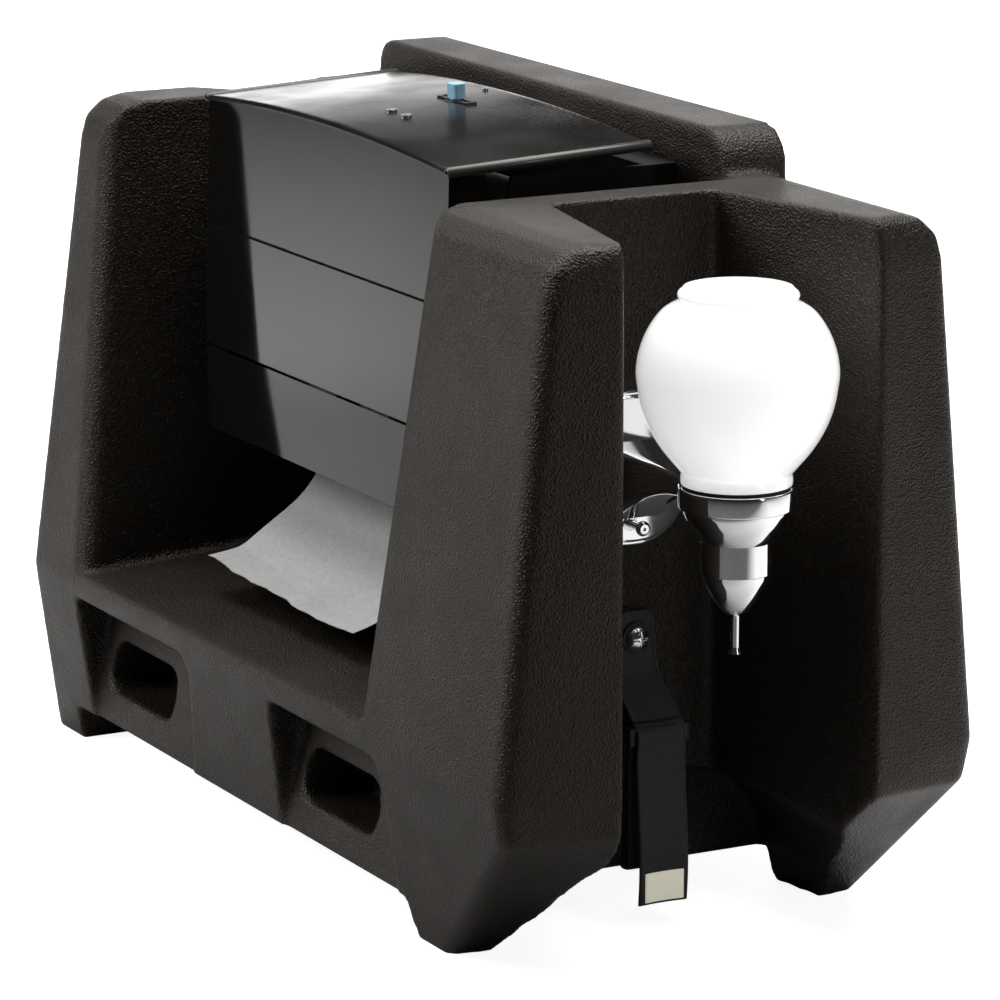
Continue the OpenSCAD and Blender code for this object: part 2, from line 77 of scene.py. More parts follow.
SLOT_OF = {part["node"]: part["material_slot"] for part in frame["record"]["subparts"]}
MM = 0.001

# Points closer than this are one point: in CAD meshes, and in the finer meshes made here
SAME_POINT = 1e-6
SAME_FINE_POINT = 1e-7

# Camera: direction of the view in degrees, distance, the point it looks at, and the lens in millimetres
VIEW_AZIMUTH = 62.02
VIEW_ELEVATION = 13.05
VIEW_DISTANCE = 3.2
VIEW_AIM = (-0.0105, 0.0152, 0.2074)
LENS = 186.3

# Body skin: size of the remesh and rounds of smoothing, which leave the soft edges of moulding
SKIN_VOXEL = 2.4 * MM
SKIN_SMOOTHING = 5

# Towel dispenser, in millimetres: half width, depth, rise of the dome and thickness of the lid, and its beads
LID_TILT = radians(2.8)
LID_HALF_WIDTH = 165.0
LID_DEPTH = 136.0
LID_RISE = 9.5
LID_DOME_RADIUS = 1908.0
LID_THICKNESS = 3.0
BEAD_RADIUS = 3.2

# Ring that grips the soap globe, in millimetres
RING_RADIUS = 33.2
RING_BORE = 30.8
RING_HEIGHT = 12.0

# Strap: cross ribs of the webbing, and steps along it that show them
RIB_PITCH = 1.5 * MM
RIB_DEPTH = 0.22 * MM
TAB_STEP = RIB_PITCH / 3
WEB_STEP = RIB_PITCH / 4

# Edge rounding of the CAD nodes that stay, in millimetres
DEFAULT_EDGE = 0.35
EDGE_WIDTH = {
    "front_cover": 0.7, "apron": 0.6, "housing": 0.6, "wall_plate": 1.0, "strap_bar": 1.0, "lock_key": 0.7,
    "lid_rivets": 0.3, "tear_bar": 0.15, "lock_barrel": 0.2, "filler_cap": 0.4, "roll_core": 0.2,
    "strap_washer": 0.3, "globe_gasket": 0.3, "valve_seal": 0.3,
}

# Floor: extra brightness as the camera sees it, and the two level directions along which its shade changes
FLOOR_GLOW = 0.92
FLOOR_HALF_SIZE = 30.0
SHADED_SIDE = (0.47, -0.88, 0)
TOWEL_SIDE = (-0.88, -0.47, 0)

# Light of the surroundings as the camera sees it and as it falls on the object
BACKGROUND_SEEN = 1.0
BACKGROUND_LIGHT = 0.025

# Lights: place, point aimed at, width and height, power in watts
LIGHTS = {
    "overhead": ((-0.3, 0.5, 2.6), (0, 0.1, 0), (3.4, 3.0), 155),
    "behind": ((-3.1, 1.6, 0.60), (0, 0, 0.44), (3.6, 0.75), 23),
    "towel_side": ((-1.5, -2.4, 1.9), (0, 0, 0.4), (1.6, 1.6), 76),
    "soap_strip": ((2.6, 0.9, 0.9), (0.1, 0, 0.25), (0.25, 1.6), 6.0),
}


# ---------------------------------------------------------------- materials

class Shader:
    """A Principled material with short helpers for its procedural inputs."""

    def __init__(self, name, color, roughness, **sockets):
        self.material = bpy.data.materials.new(name)
        self.material.use_nodes = True
        self.tree = self.material.node_tree
        self.surface = self.tree.nodes["Principled BSDF"]
        self.set("Base Color", (*color, 1))
        self.set("Roughness", roughness)
        for key, value in sockets.items():
            self.set(key.replace("_", " "), value)
        self.place = self.node("ShaderNodeTexCoord").outputs["Object"]
        self.height = None

    def node(self, kind, **values):
        made = self.tree.nodes.new(kind)
        for key, value in values.items():
            setattr(made, key, value)
        return made

    def link(self, output, target):
        self.tree.links.new(output, target)

    def set(self, socket, value):
        self.surface.inputs[socket].default_value = value

    def scaled(self, scale):
        """Object coordinates, stretched along each axis."""
        mapping = self.node("ShaderNodeMapping")
        mapping.inputs["Scale"].default_value = scale
        self.link(self.place, mapping.inputs["Vector"])
        return mapping.outputs["Vector"]

    def noise(self, scale, detail=3.0, stretch=(1, 1, 1)):
        """Cloudy noise from 0 to 1; scale is its cells per metre."""
        made = self.node("ShaderNodeTexNoise")
        made.inputs["Scale"].default_value = scale
        made.inputs["Detail"].default_value = detail
        self.link(self.scaled(stretch), made.inputs["Vector"])
        return made.outputs["Fac"]

    def cells(self, scale):
        """Rounded pebbles, as on a grained mould."""
        made = self.node("ShaderNodeTexVoronoi", feature="SMOOTH_F1")
        made.inputs["Scale"].default_value = scale
        made.inputs["Smoothness"].default_value = 0.6
        self.link(self.place, made.inputs["Vector"])
        return made.outputs["Distance"]

    def bands(self, scale, direction, distortion=0.0):
        """Ridges side by side along one axis."""
        made = self.node("ShaderNodeTexWave", bands_direction=direction, wave_profile="SIN")
        made.inputs["Scale"].default_value = scale
        made.inputs["Distortion"].default_value = distortion
        made.inputs["Detail"].default_value = 2.0
        self.link(self.place, made.inputs["Vector"])
        return made.outputs["Fac"]

    def mapped(self, value, low, high, start=0.0, end=1.0):
        """Value brought from start..end to low..high, and held there beyond the ends."""
        made = self.node("ShaderNodeMapRange")
        for key, number in (("From Min", start), ("From Max", end), ("To Min", low), ("To Max", high)):
            made.inputs[key].default_value = number
        self.link(value, made.inputs["Value"])
        return made.outputs["Result"]

    def reach(self, direction):
        """How far a place lies towards a direction."""
        made = self.node("ShaderNodeVectorMath", operation="DOT_PRODUCT")
        self.link(self.place, made.inputs[0])
        made.inputs[1].default_value = direction
        return made.outputs["Value"]

    def combine(self, operation, a, b):
        made = self.node("ShaderNodeMath", operation=operation)
        self.link(a, made.inputs[0])
        self.link(b, made.inputs[1])
        return made.outputs["Value"]

    def vary_roughness(self, value, low, high, start=0.3, end=0.7):
        self.link(self.mapped(value, low, high, start, end), self.surface.inputs["Roughness"])
        return self

    def vary_color(self, value, low, high, start=0.3, end=0.7):
        factor, color_a, color_b, mixed = 0, 6, 7, 2
        mix = self.node("ShaderNodeMix", data_type="RGBA")
        mix.inputs[color_a].default_value = (*low, 1)
        mix.inputs[color_b].default_value = (*high, 1)
        self.link(self.mapped(value, 0.0, 1.0, start, end), mix.inputs[factor])
        self.link(mix.outputs[mixed], self.surface.inputs["Base Color"])
        return self

    def bump(self, value, depth, strength=1.0):
        """Adds a bump of this depth in metres over what is there already."""
        made = self.node("ShaderNodeBump")
        made.inputs["Strength"].default_value = strength
        made.inputs["Distance"].default_value = depth
        self.link(value, made.inputs["Height"])
        if self.height is not None:
            self.link(self.height, made.inputs["Normal"])
        self.height = made.outputs["Normal"]
        self.link(self.height, self.surface.inputs["Normal"])
        return self


def body_plastic():
    """Black moulded polyethylene with a fine leathery grain."""
    s = Shader("body_polyethylene", (0.009, 0.0078, 0.0066), 0.44)
    s.set("Specular IOR Level", 0.36)
    s.set("Specular Tint", (1.0, 0.90, 0.80, 1))
    s.vary_color(s.noise(9, 4), (0.0068, 0.0048, 0.0030), (0.0112, 0.0082, 0.0056))
    s.vary_roughness(s.noise(26, 4), 0.34, 0.45)
    s.bump(s.cells(760), 0.75 * MM, 1.0)
    s.bump(s.noise(1000, 3), 0.5 * MM, 0.9)
    return s.material


def smoked_gloss(name, color, roughness):
    """Dark glossy plastic that mirrors its surroundings."""
    s = Shader(name, color, roughness)
    s.set("Specular Tint", (1.0, 0.96, 0.92, 1))
    s.vary_roughness(s.noise(14, 5), roughness * 0.75, roughness * 1.5)
    s.vary_color(s.noise(3, 3), tuple(c * 0.9 for c in color), tuple(c * 1.12 for c in color))
    s.bump(s.noise(60, 2), 0.06 * MM, 0.06)
    return s.material


def moulded(name, color, roughness, specular=0.5):
    """Satin injection-moulded plastic."""
    s = Shader(name, color, roughness)
    s.set("Specular IOR Level", specular)
    s.vary_roughness(s.noise(60, 4), roughness * 0.85, roughness * 1.15)
    s.vary_color(s.noise(20, 3), tuple(c * 0.88 for c in color), tuple(c * 1.1 for c in color))
    s.bump(s.noise(900, 2), 0.1 * MM, 0.4)
    return s.material


def chrome():
    """Bright plating with faint smears."""
    s = Shader("chrome", (0.86, 0.865, 0.875), 0.05, Metallic=1.0)
    s.vary_roughness(s.noise(30, 5), 0.03, 0.085)
    s.bump(s.noise(45, 2), 0.05 * MM, 0.08)
    return s.material


def brushed(name, color, roughness):
    """Metal with a fine grain along X."""
    s = Shader(name, color, roughness, Metallic=1.0)
    grain = s.noise(300, 3, stretch=(0.06, 1, 1))
    s.vary_roughness(grain, roughness * 0.8, roughness * 1.3)
    s.bump(grain, 0.03 * MM, 0.5)
    return s.material


def opal():
    """White opal glass: glossy over a milky body, with a painted glow so that it seems lit from inside."""
    s = Shader("opal", (0.93, 0.935, 0.93), 0.16, Coat_Weight=0.8, Coat_Roughness=0.03)
    s.set("Subsurface Weight", 0.35)
    s.set("Subsurface Radius", (0.02, 0.02, 0.02))
    s.set("Subsurface Scale", 0.6)
    # Painted glow: this emission brightens the glass as if lit from inside, though the globe is no lamp.
    s.set("Emission Color", (1.0, 1.0, 0.99, 1))
    s.set("Emission Strength", 0.52)
    s.vary_roughness(s.noise(20, 4), 0.12, 0.22)
    s.vary_color(s.noise(6, 3), (0.91, 0.915, 0.91), (0.95, 0.95, 0.945))
    return s.material


def towel_paper():
    """Soft crepe paper with fibres and shallow creases; its grey is painted shade from the dispenser above.
    """
    # Painted shade: the base and its speckle are darkened to grey for the dispenser's shadow over the sheet.
    s = Shader("towel_paper", (0.37, 0.365, 0.36), 0.95)
    s.set("Specular IOR Level", 0.12)
    s.vary_color(s.noise(260, 6), (0.345, 0.34, 0.335), (0.40, 0.395, 0.39))
    s.bump(s.noise(420, 5, stretch=(0.45, 1, 1)), 0.35 * MM, 0.5)
    s.bump(s.noise(90, 4), 0.6 * MM, 0.35)
    return s.material


def rolled_paper():
    """The same paper, wound tight."""
    s = Shader("rolled_paper", (0.50, 0.49, 0.48), 0.95)
    s.set("Specular IOR Level", 0.12)
    s.vary_color(s.noise(220, 5), (0.45, 0.44, 0.43), (0.56, 0.55, 0.54))
    s.bump(s.noise(500, 5), 0.3 * MM, 0.5)
    return s.material


def cardboard():
    """Brown board wound in a spiral."""
    s = Shader("core_board", (0.42, 0.30, 0.18), 0.9)
    s.vary_color(s.noise(240, 6, stretch=(0.3, 1, 1)), (0.34, 0.24, 0.14), (0.48, 0.35, 0.22))
    s.bump(s.bands(70, "X", 2.0), 0.2 * MM, 0.4)
    return s.material


def rubber(name, color):
    """Matt black rubber."""
    s = Shader(name, color, 0.75)
    s.vary_roughness(s.noise(120, 4), 0.62, 0.85)
    s.bump(s.noise(1100, 3), 0.15 * MM, 0.4)
    return s.material


def webbing():
    """Black nylon with a fine weave."""
    s = Shader("nylon_webbing", (0.010, 0.0095, 0.0085), 0.62, Sheen_Weight=0.12, Sheen_Roughness=0.4)
    s.vary_color(s.noise(700, 3, stretch=(1, 1, 2)), (0.006, 0.0055, 0.005), (0.018, 0.0165, 0.0145))
    s.bump(s.noise(1500, 2, stretch=(1, 1, 0.35)), 0.2 * MM, 0.6)
    return s.material


def label_cloth():
    """Cream woven patch, with threads both ways, and a painted glow that lightens it."""
    s = Shader("label_cloth", (0.92, 0.89, 0.72), 0.85, Sheen_Weight=0.2)
    # Painted glow: the patch is no lamp; this emission lightens it.
    s.set("Emission Color", (1.0, 0.96, 0.78, 1))
    s.set("Emission Strength", 0.28)
    s.vary_color(s.noise(900, 3), (0.86, 0.83, 0.66), (0.96, 0.93, 0.77))
    s.bump(s.bands(600, "Z"), 0.1 * MM, 0.35)
    s.bump(s.bands(600, "Y"), 0.1 * MM, 0.35)
    return s.material


def key_plastic():
    """Light blue plastic of the key."""
    s = Shader("key_plastic", (0.28, 0.50, 0.66), 0.30, Coat_Weight=0.2)
    s.vary_color(s.noise(150, 3), (0.25, 0.46, 0.62), (0.32, 0.55, 0.71))
    s.vary_roughness(s.noise(200, 3), 0.24, 0.38)
    s.bump(s.noise(900, 2), 0.08 * MM, 0.3)
    return s.material


MATERIALS = {
    "body_plastic": body_plastic(),
    "insert_brass": brushed("insert_brass", (0.72, 0.52, 0.24), 0.32),
    "housing_plastic": moulded("housing_plastic", (0.006, 0.0057, 0.0054), 0.5, 0.2),
    "cover_plastic": smoked_gloss("smoked_cover", (0.0050, 0.0043, 0.0037), 0.055),
    "lid_plastic": smoked_gloss("smoked_lid", (0.0070, 0.0062, 0.0055), 0.19),
    "steel": brushed("plated_steel", (0.62, 0.62, 0.63), 0.26),
    "hub_plastic": moulded("hub_plastic", (0.60, 0.60, 0.57), 0.45),
    "core_board": cardboard(),
    "towel_paper": towel_paper(),
    "roller_rubber": rubber("roller_rubber", (0.020, 0.020, 0.020)),
    "roller_plastic": moulded("roller_plastic", (0.62, 0.62, 0.59), 0.4),
    "key_plastic": key_plastic(),
    "lock_plastic": moulded("lock_plastic", (0.014, 0.014, 0.014), 0.35),
    "chrome": chrome(),
    "opal": opal(),
    "seal_rubber": rubber("seal_rubber", (0.016, 0.016, 0.016)),
    "nylon": webbing(),
    "bar_plastic": moulded("bar_plastic", (0.006, 0.0057, 0.0054), 0.55, 0.3),
    "label_cloth": label_cloth(),
    "bead_plastic": smoked_gloss("lid_bead", (0.055, 0.053, 0.049), 0.22),
    "rolled_paper": rolled_paper(),
}


def dress(obj, slot, look=None):
    """Gives a piece its material slot, and that slot's material or another look."""
    obj.data.materials.clear()
    obj.data.materials.append(MATERIALS[look or slot])


# ---------------------------------------------------------------- mesh helpers

def into_scene(name, data):
    """A new object for a mesh, light or camera."""
    obj = bpy.data.objects.new(name, data)
    bpy.context.scene.collection.objects.link(obj)
    return obj


def add_object(name, verts, faces, smooth=True):
    """A clean mesh: doubled points merged and faces turned outward."""
    mesh = bpy.data.meshes.new(name)
    mesh.from_pydata([tuple(v) for v in verts], [], faces)
    bm = bmesh.new()
    bm.from_mesh(mesh)
    bmesh.ops.remove_doubles(bm, verts=bm.verts, dist=SAME_FINE_POINT)
    bmesh.ops.recalc_face_normals(bm, faces=bm.faces)
    bm.to_mesh(mesh)
    bm.free()
    if smooth:
        mesh.shade_smooth()
    return into_scene(name, mesh)


def rings(name, loops, caps=True):
    """A skin through closed loops of equal length; caps fills the first and last."""
    count = len(loops[0])
    verts = [v for loop in loops for v in loop]
    faces = []
    for k in range(len(loops) - 1):
        for i in range(count):
            j = (i + 1) % count
            faces.append((k * count + i, k * count + j, (k + 1) * count + j, (k + 1) * count + i))
    if caps:
        faces.append(tuple(range(count)))
        faces.append(tuple((len(loops) - 1) * count + i for i in range(count)))
    return add_object(name, verts, faces)


def curve(points, steps):
    """Smooth curve through points (Catmull-Rom), with this many steps in each span."""
    points = [Vector(p) for p in points]
    ends = [2 * points[0] - points[1], *points, 2 * points[-1] - points[-2]]
    out = []
    for k in range(1, len(ends) - 2):
        a, b, c, d = ends[k - 1:k + 3]
        for i in range(steps):
            t = i / steps
            out.append(0.5 * (2 * b + (c - a) * t + (2 * a - 5 * b + 4 * c - d) * t * t
                              + (3 * b - a - 3 * c + d) * t * t * t))
    return [*out, points[-1]]


def arc(centre, radius, start, end, steps):
    """Points (2D) on an arc, angles in degrees."""
    angles = [radians(start + (end - start) * i / steps) for i in range(steps + 1)]
    return [(centre[0] + radius * cos(a), centre[1] + radius * sin(a)) for a in angles]


def circle(count):
    """Cosine and sine at even steps round a circle."""
    return [(cos(2 * pi * i / count), sin(2 * pi * i / count)) for i in range(count)]


def raised(points, base):
    """A profile's (radius, height) points moved up to a base."""
    return [(radius, base + height) for radius, height in points]


def lathe(name, profile, centre, segments=160):
    """A closed profile of (radius, height) in millimetres turned about the vertical through centre."""
    loops = [[(centre.x + r * MM * c, centre.y + r * MM * s, z * MM) for r, z in profile]
             for c, s in circle(segments)]
    return rings(name, [*loops, loops[0]], caps=False)


def set_sharp(obj, degrees):
    """Marks the edges that bend more than this as sharp, so that the faces between them shade smooth."""
    bm = bmesh.new()
    bm.from_mesh(obj.data)
    for edge in bm.edges:
        edge.smooth = len(edge.link_faces) == 2 and edge.calc_face_angle(0) < radians(degrees)
    bm.to_mesh(obj.data)
    bm.free()
    return obj


def soften(obj, width):
    """Rounds a CAD node's edges a little and evens out its shading."""
    weld = obj.modifiers.new("weld", "WELD")
    weld.merge_threshold = SAME_POINT
    edges = obj.modifiers.new("edges", "BEVEL")
    edges.width = width
    edges.segments = 2
    edges.limit_method = "ANGLE"
    edges.angle_limit = radians(30)
    normals = obj.modifiers.new("normals", "WEIGHTED_NORMAL")
    normals.keep_sharp = True


def fit(obj, body, slot, *replaced, look=None):
    """Dresses a new piece, puts it on its body, and lets it stand for CAD nodes."""
    dress(obj, slot, look)
    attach(obj, body)
    if replaced:
        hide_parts(*replaced)


def middle(node):
    """Centre of a CAD node's box."""
    low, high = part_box(node)
    return (low + high) / 2


# ---------------------------------------------------------------- body

def islands(bm):
    """The connected groups of faces of a bmesh."""
    left, found = set(bm.faces), []
    while left:
        group, front = [], [left.pop()]
        while front:
            face = front.pop()
            group.append(face)
            for edge in face.edges:
                for other in edge.link_faces:
                    if other in left:
                        left.discard(other)
                        front.append(other)
        found.append(group)
    return found


def island_boxes(node):
    """Box of each separate solid in a CAD node."""
    bm = bmesh.new()
    bm.from_mesh(NODES[node].data)
    bmesh.ops.remove_doubles(bm, verts=bm.verts, dist=SAME_POINT)
    boxes = []
    for group in islands(bm):
        points = [v.co for f in group for v in f.verts]
        low = Vector([min(p[i] for p in points) for i in range(3)])
        high = Vector([max(p[i] for p in points) for i in range(3)])
        boxes.append((low, high))
    bm.free()
    return boxes


def inside(point, low, high):
    """Whether a point lies in a box."""
    return all(low[i] <= point[i] <= high[i] for i in range(3))


def fill_insert_holes(bm):
    """Takes away the walls of the holes round the threaded inserts, and closes the skin over them."""
    margin = Vector((1.5, 1.5, 1.5)) * MM
    holes = island_boxes("strap_insert") + island_boxes("wall_anchor_nuts")
    walls = [f for f in bm.faces for low, high in holes
             if all(inside(v.co, low - margin, high + margin) for v in f.verts)]
    bmesh.ops.delete(bm, geom=list(set(walls)), context="FACES")
    bmesh.ops.holes_fill(bm, edges=[e for e in bm.edges if e.is_boundary], sides=0)


def width_of(faces):
    """Extent of some faces along X."""
    across = [v.co.x for f in faces for v in f.verts]
    return max(across) - min(across)


def body_skin():
    """Outer surface of the moulded body, with the soft edges that moulding leaves."""
    bm = bmesh.new()
    bm.from_mesh(NODES["body_shell"].data)
    bmesh.ops.remove_doubles(bm, verts=bm.verts, dist=SAME_POINT)
    fill_insert_holes(bm)
    outer = set(max(islands(bm), key=width_of))
    bmesh.ops.delete(bm, geom=[f for f in bm.faces if f not in outer], context="FACES")
    mesh = bpy.data.meshes.new("body_skin")
    bm.to_mesh(mesh)
    bm.free()
    obj = into_scene("body_skin", mesh)
    remesh = obj.modifiers.new("moulding", "REMESH")
    remesh.mode = "VOXEL"
    remesh.voxel_size = SKIN_VOXEL * 1
    remesh.use_smooth_shade = True
    smooth = obj.modifiers.new("soft_edges", "SMOOTH")
    smooth.factor = 0.5
    smooth.iterations = SKIN_SMOOTHING
    depsgraph = bpy.context.evaluated_depsgraph_get()
    final = bpy.data.meshes.new_from_object(obj.evaluated_get(depsgraph))
    obj.modifiers.clear()
    obj.data = final
    fit(obj, "station", "body_plastic", "body_shell")


# ---------------------------------------------------------------- towel dispenser

LID_LOW, LID_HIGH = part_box("cover_lid")
LID_ORIGIN = Vector(((LID_LOW.x + LID_HIGH.x) / 2, LID_LOW.y + 0.2 * MM, LID_LOW.z + 2.6 * MM))
LID_TURN = Matrix.Rotation(LID_TILT, 3, "X")


def lid_point(x, y, z):
    """A place on the lid, from millimetres across, back and up from its front edge's middle."""
    return LID_ORIGIN + LID_TURN @ Vector((x, y, z)) * MM


def cover_lid():
    """Domed lid: a thin crowned sheet with rolled front and back edges."""
    lip, steps_across, steps_deep = 2.2, 72, 40

    def section(y, drop):
        """The lid's outline across at one depth; drop lowers its upper face at a rolled edge."""
        top, under = [], []
        for i in range(steps_across + 1):
            x = LID_HALF_WIDTH * (2 * i / steps_across - 1)
            z = LID_RISE - LID_DOME_RADIUS + sqrt(LID_DOME_RADIUS ** 2 - x * x)
            top.append(lid_point(x, y, z - drop))
            under.append(lid_point(x, y, z - LID_THICKNESS))
        return top + under[::-1]

    edge = [(lip * (1 - cos(radians(a))), lip * (1 - sin(radians(a)))) for a in range(0, 91, 15)]
    loops = [section(y, drop) for y, drop in edge]
    loops += [section(lip + (LID_DEPTH - 2 * lip) * k / steps_deep, 0.0) for k in range(1, steps_deep)]
    loops += [section(LID_DEPTH - y, drop) for y, drop in edge[::-1]]
    skin = rings("lid_skin", loops)
    fit(set_sharp(skin, 50), "cover", "lid_plastic", "cover_lid")


def lid_beads():
    """Round bead along each side of the lid, with a small open bore at its front end."""
    r, long, bore, bore_depth, centre_line = BEAD_RADIUS, LID_DEPTH + 1, 1.3, 6.0, 0.01
    outward, up = LID_HALF_WIDTH + 1.4, 0.4
    profile = [(bore_depth, centre_line), (bore_depth, bore), (0.4, bore), (0.0, bore + 0.4), (0.0, r - 0.8),
               (0.8, r), (long - 0.8, r), (long, r - 0.8), (long, centre_line)]
    for side, name in ((-1, "lid_bead_left"), (1, "lid_bead_right")):
        loops = [[lid_point(side * outward + radius * c, y, up + radius * s) for c, s in circle(24)]
                 for y, radius in profile]
        fit(set_sharp(rings(name, loops), 50), "cover", "lid_plastic", look="bead_plastic")


def ripple(x, y, z=0.0):
    """Smooth noise from -1 to 1, the same in each run."""
    return noise.noise(Vector((x, y, z)))


def torn_edge(u, along):
    """How far the torn front edge stands out; u runs across the sheet and along runs down it, from 0 to 1."""
    start = 0.8
    return (3.5 * ripple(9 * u, 3.1) + 1.2 * ripple(60 * u, 8.2)) * MM * max(0.0, along - start) / (1 - start)


def sheet_lift(u, along):
    """How far the sheet stands off its plain curve: waves, creases and a corner that curls up."""
    wave = 6 * ripple(2.1 * u, 2.2 * along, 5.0) * min(1.0, 1.6 * along)
    crease = 1.2 * ripple(7 * u, 5 * along, 9.0) * along
    corner = 22 * exp(-((u - 0.02) / 0.13) ** 2) * max(0.0, along - 0.72)
    return (max(0.0, wave + 4 * along) + crease + corner) * MM


def towel_sheet():
    """Hanging paper: out of the nip, down, then forward on to the shelf, with a torn front edge."""
    low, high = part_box("paper_sheet")
    across, half_thickness = 96, 0.16 * MM
    forward_and_down = ((0, 0), (1, 22), (6, 40), (18, 56), (36, 71), (56, 85))
    path = curve([*((high.y - forward * MM, high.z - down * MM) for forward, down in forward_and_down),
                  (low.y + 16 * MM, low.z + 6 * MM), (low.y, low.z)], 9)
    loops = []
    for j, (y, z) in enumerate(path):
        along = j / (len(path) - 1)
        ahead = path[min(j + 1, len(path) - 1)] - path[max(j - 1, 0)]
        normal = Vector((0, -ahead[1], ahead[0])).normalized()
        if normal.z < 0:
            normal.negate()
        top, under = [], []
        for i in range(across + 1):
            u = i / across
            x = low.x + (high.x - low.x) * u
            place = Vector((x, y + torn_edge(u, along), z)) + normal * sheet_lift(u, along)
            top.append(place + normal * half_thickness)
            under.append(place - normal * half_thickness)
        loops.append(top + under[::-1])
    fit(set_sharp(rings("towel_sheet", loops), 70), "station", "towel_paper", "paper_sheet")


def towel_roll():
    """Wound paper with softly rounded ends."""
    low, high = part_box("paper_roll")
    core_low, core_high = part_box("roll_core")
    centre = (low + high) / 2
    outer, inner = (high.z - low.z) / 2, (core_high.z - core_low.z) / 2
    ease = 1.2 * MM
    rounding = [radians(a) for a in range(0, 91, 22)]
    profile = [(low.x, inner)]
    profile += [(low.x + ease - ease * cos(a), outer - ease + ease * sin(a)) for a in rounding]
    profile += [(high.x - ease + ease * sin(a), outer - ease + ease * cos(a)) for a in rounding]
    profile.append((high.x, inner))
    loops = [[(x, centre.y + r * c, centre.z + r * s) for x, r in profile] for c, s in circle(128)]
    roll = rings("towel_roll_paper", [*loops, loops[0]], caps=False)
    fit(set_sharp(roll, 40), "towel_roll", "towel_paper", "paper_roll", look="rolled_paper")


# ---------------------------------------------------------------- soap dispenser

def soap_globe():
    """Opal globe: collar in the ring, teardrop bulge and a beaded mouth."""
    centre = middle("globe")
    low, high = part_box("globe")
    wide, base, tall = (high.x - low.x) / 2 / MM, low.z / MM, high.z / MM
    mouth, wall, bead_radius = 28.0, 3.2, 2.9
    neck = raised(((31.6, 0), (31.8, 2.2), (31.5, 4.6), (31.2, 6.2)), base)
    lower = raised(((31.2, 6.2), (34.2, 9.6), (42.4, 19.6), (49.0, 30.4), (54.0, 43.0)), base)
    upper = raised(((wide - 0.25, 58.0), (wide, 66.5), (55.0, 77.0), (50.4, 88.0), (43.0, 98.0)), base)
    bulge = curve([*lower, *upper, (33.6, tall - 6.6), (32.0, tall - 5.6)], 6)
    bead = arc((31.4, tall - bead_radius), bead_radius, -30, 110, 9)
    rim = [(28.4, tall - 1.2), (mouth, tall - 6.0)]
    hollow = [(max(mouth, r - wall), z) for r, z in bulge[::-1] if base + 9 < z < tall - 7]
    profile = neck + bulge[1:] + bead + rim + hollow + [(mouth, base + 6.0), (mouth, base)]
    fit(set_sharp(lathe("globe_glass", profile, centre), 60), "station", "opal", "globe")


def soap_valve():
    """Plated valve: cone under the ring, straight band and bullet nose."""
    centre = middle("valve_body")
    low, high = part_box("valve_body")
    base, top = low.z / MM, high.z / MM
    bullet = ((2.9, 0.15), (6.6, 2.2), (11.2, 7.4), (15.2, 13.8), (18.4, 20.4), (19.9, 25.2))
    nose = curve(raised(bullet, base), 6)
    band = raised(((20.4, 25.6), (20.4, 43.8), (20.9, 44.4)), base)
    cone = curve(raised(((20.9, 44.4), (23.2, 47.6), (27.4, 54.4), (30.0, 60.0), (30.6, 62.2)), base), 4)
    rim = [(30.6, top), (24.0, top)]
    hollow = raised(((24.0, 66), (16.0, 50), (7.6, 46), (7.6, 12), (2.6, 8)), base)
    profile = nose + band + cone[1:] + rim + hollow
    fit(set_sharp(lathe("valve_skin", profile, centre), 32), "station", "chrome", "valve_body")


def valve_coils():
    """Coil spring in two halves: the lower one rides up with the pin, between the upper one's turns."""
    low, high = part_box("valve_spring")
    centre = middle("valve_spring")
    radius, wire, steps_per_turn = 5.35 * MM, 0.62 * MM, 28
    travel = next(joint["range_m"][1] for joint in frame["joints"] if joint["name"] == "plunger_push")
    turns_travelled = 1.5
    pitch = travel / turns_travelled
    start, end = low.z + wire, high.z - wire
    split = (start + end) / 2
    for name, body, z0, z1, replaced in (("valve_spring_lower", "push_pin", start, split, ()),
                                         ("valve_spring_upper", "station", split, end, ("valve_spring",))):
        count = int((z1 - z0) / pitch * steps_per_turn)
        loops = []
        for k in range(count + 1):
            z = z0 + (z1 - z0) * k / count
            a = 2 * pi * (z - start) / pitch
            out = Vector((cos(a), sin(a), 0))
            place = Vector((centre.x, centre.y, z)) + out * radius
            loops.append([place + out * wire * c + Vector((0, 0, wire * s)) for c, s in circle(10)])
        fit(rings(name, loops), body, "steel", *replaced)


def soap_ring():
    """Rolled collar that grips the neck of the globe."""
    low_edge, high_edge = 1.0, 0.9
    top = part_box("globe_gasket")[0].z / MM
    base = top - RING_HEIGHT
    profile = [(RING_BORE, top), (RING_BORE, base), (RING_RADIUS - low_edge, base)]
    profile += arc((RING_RADIUS - low_edge, base + low_edge), low_edge, -90, 0, 4)
    profile += arc((RING_RADIUS - high_edge, top - high_edge), high_edge, 0, 90, 4)
    fit(set_sharp(lathe("soap_ring", profile, middle("valve_body")), 50), "station", "chrome")


def rounded_loop(x, z, wide, tall, radius, centre_y):
    """Rounded rectangle in the plane X = x."""
    out = []
    for side, level, start in ((1, 1, 0), (-1, 1, 90), (-1, -1, 180), (1, -1, 270)):
        corner = (centre_y + side * (wide / 2 - radius), z + level * (tall / 2 - radius))
        out += [(x, a, b) for a, b in arc(corner, radius, start, start + 90, 6)]
    return out


